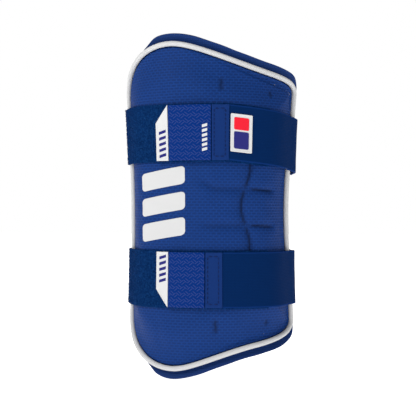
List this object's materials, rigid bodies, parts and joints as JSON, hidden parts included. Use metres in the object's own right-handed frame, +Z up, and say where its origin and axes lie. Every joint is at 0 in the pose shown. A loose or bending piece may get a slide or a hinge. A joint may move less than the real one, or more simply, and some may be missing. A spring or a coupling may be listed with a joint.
{
  "type": "forearm guard",
  "caption": "Padded half-shell guard for a batter's forearm, worn on the outside and held by elastic hook-and-loop straps that wrap behind the arm.",
  "frame": {"origin": "on the forearm's axis, at the middle of the guard's length", "axes": "+Z up the forearm to the elbow, -Y out of the front of the guard, +X to the side where the straps come over the edge"},
  "size_m": [0.1324, 0.1039, 0.2513],
  "materials": {
    "mesh_fabric": "embossed polyester mesh",
    "liner_fabric": "brushed knit",
    "foam": "open-cell foam",
    "plate": "thin sheet",
    "impact_foam": "moulded soft foam",
    "bias_tape": "woven bias tape",
    "emblem_print": "matt raised print",
    "loop_pile": "brushed loop pile",
    "woven_elastic": "ribbed woven elastic",
    "woven_tape": "flat woven tape",
    "printed_film": "satin film",
    "hook_plastic": "moulded hooks",
    "white_rubber": "smooth",
    "red_rubber": "smooth",
    "navy_rubber": "smooth"
  },
  "bodies": {
    "guard": {"comfort_liner": "liner_fabric", "backing_foam": "foam", "stiffener_plate": "plate", "crest_pad": "impact_foam", "centre_pad_upper": "impact_foam", "centre_pad_middle": "impact_foam", "centre_pad_lower": "impact_foam", "outer_pad_upper": "impact_foam", "outer_pad_middle": "impact_foam", "outer_pad_lower": "impact_foam", "elbow_end_pad": "impact_foam", "wrist_end_pad": "impact_foam", "front_cover": "mesh_fabric", "edge_piping": "bias_tape", "emblem_bar_upper": "emblem_print", "emblem_bar_middle": "emblem_print", "emblem_bar_lower": "emblem_print", "upper_loop_strip": "loop_pile", "lower_loop_strip": "loop_pile"},
    "upper_back_run": {"upper_elastic_back": "woven_elastic"},
    "upper_front_run": {"upper_elastic_front": "woven_elastic", "label_base": "white_rubber", "label_upper_field": "red_rubber", "label_lower_field": "navy_rubber"},
    "upper_tab": {"upper_sewn_tape": "woven_tape", "upper_tab_film": "printed_film", "upper_hook_patch": "hook_plastic", "upper_tab_tip": "white_rubber"},
    "lower_back_run": {"lower_elastic_back": "woven_elastic"},
    "lower_front_run": {"lower_elastic_front": "woven_elastic"},
    "lower_tab": {"lower_sewn_tape": "woven_tape", "lower_tab_film": "printed_film", "lower_hook_patch": "hook_plastic", "lower_tab_tip": "white_rubber"}
  },
  "joints": [
    {"name": "upper_strap_back", "type": "hinge", "parent": "guard", "child": "upper_back_run", "pos_m": [-0.06167, 0, 0.053], "axis": [0, 0, 1], "range_deg": [0, 15]},
    {"name": "upper_strap_open", "type": "hinge", "parent": "upper_back_run", "child": "upper_front_run", "pos_m": [0.06123, 0, 0.044], "axis": [0, 0, 1], "range_deg": [0, 140]},
    {"name": "upper_tab_peel", "type": "hinge", "parent": "upper_front_run", "child": "upper_tab", "pos_m": [0.01998, -0.05786, 0.053], "axis": [0, 0, 1], "range_deg": [0, 80]},
    {"name": "lower_strap_back", "type": "hinge", "parent": "guard", "child": "lower_back_run", "pos_m": [-0.06014, 0, -0.053], "axis": [0, 0, 1], "range_deg": [0, 15]},
    {"name": "lower_strap_open", "type": "hinge", "parent": "lower_back_run", "child": "lower_front_run", "pos_m": [0.06014, 0, -0.053], "axis": [0, 0, 1], "range_deg": [0, 140]},
    {"name": "lower_tab_peel", "type": "hinge", "parent": "lower_front_run", "child": "lower_tab", "pos_m": [0.01494, -0.05765, -0.053], "axis": [0, 0, 1], "range_deg": [0, 80]}
  ],
  "couplings": [
    {"joint": "upper_strap_back", "follows": "upper_strap_open", "ratio": 0.1},
    {"joint": "lower_strap_back", "follows": "lower_strap_open", "ratio": 0.1}
  ]
}
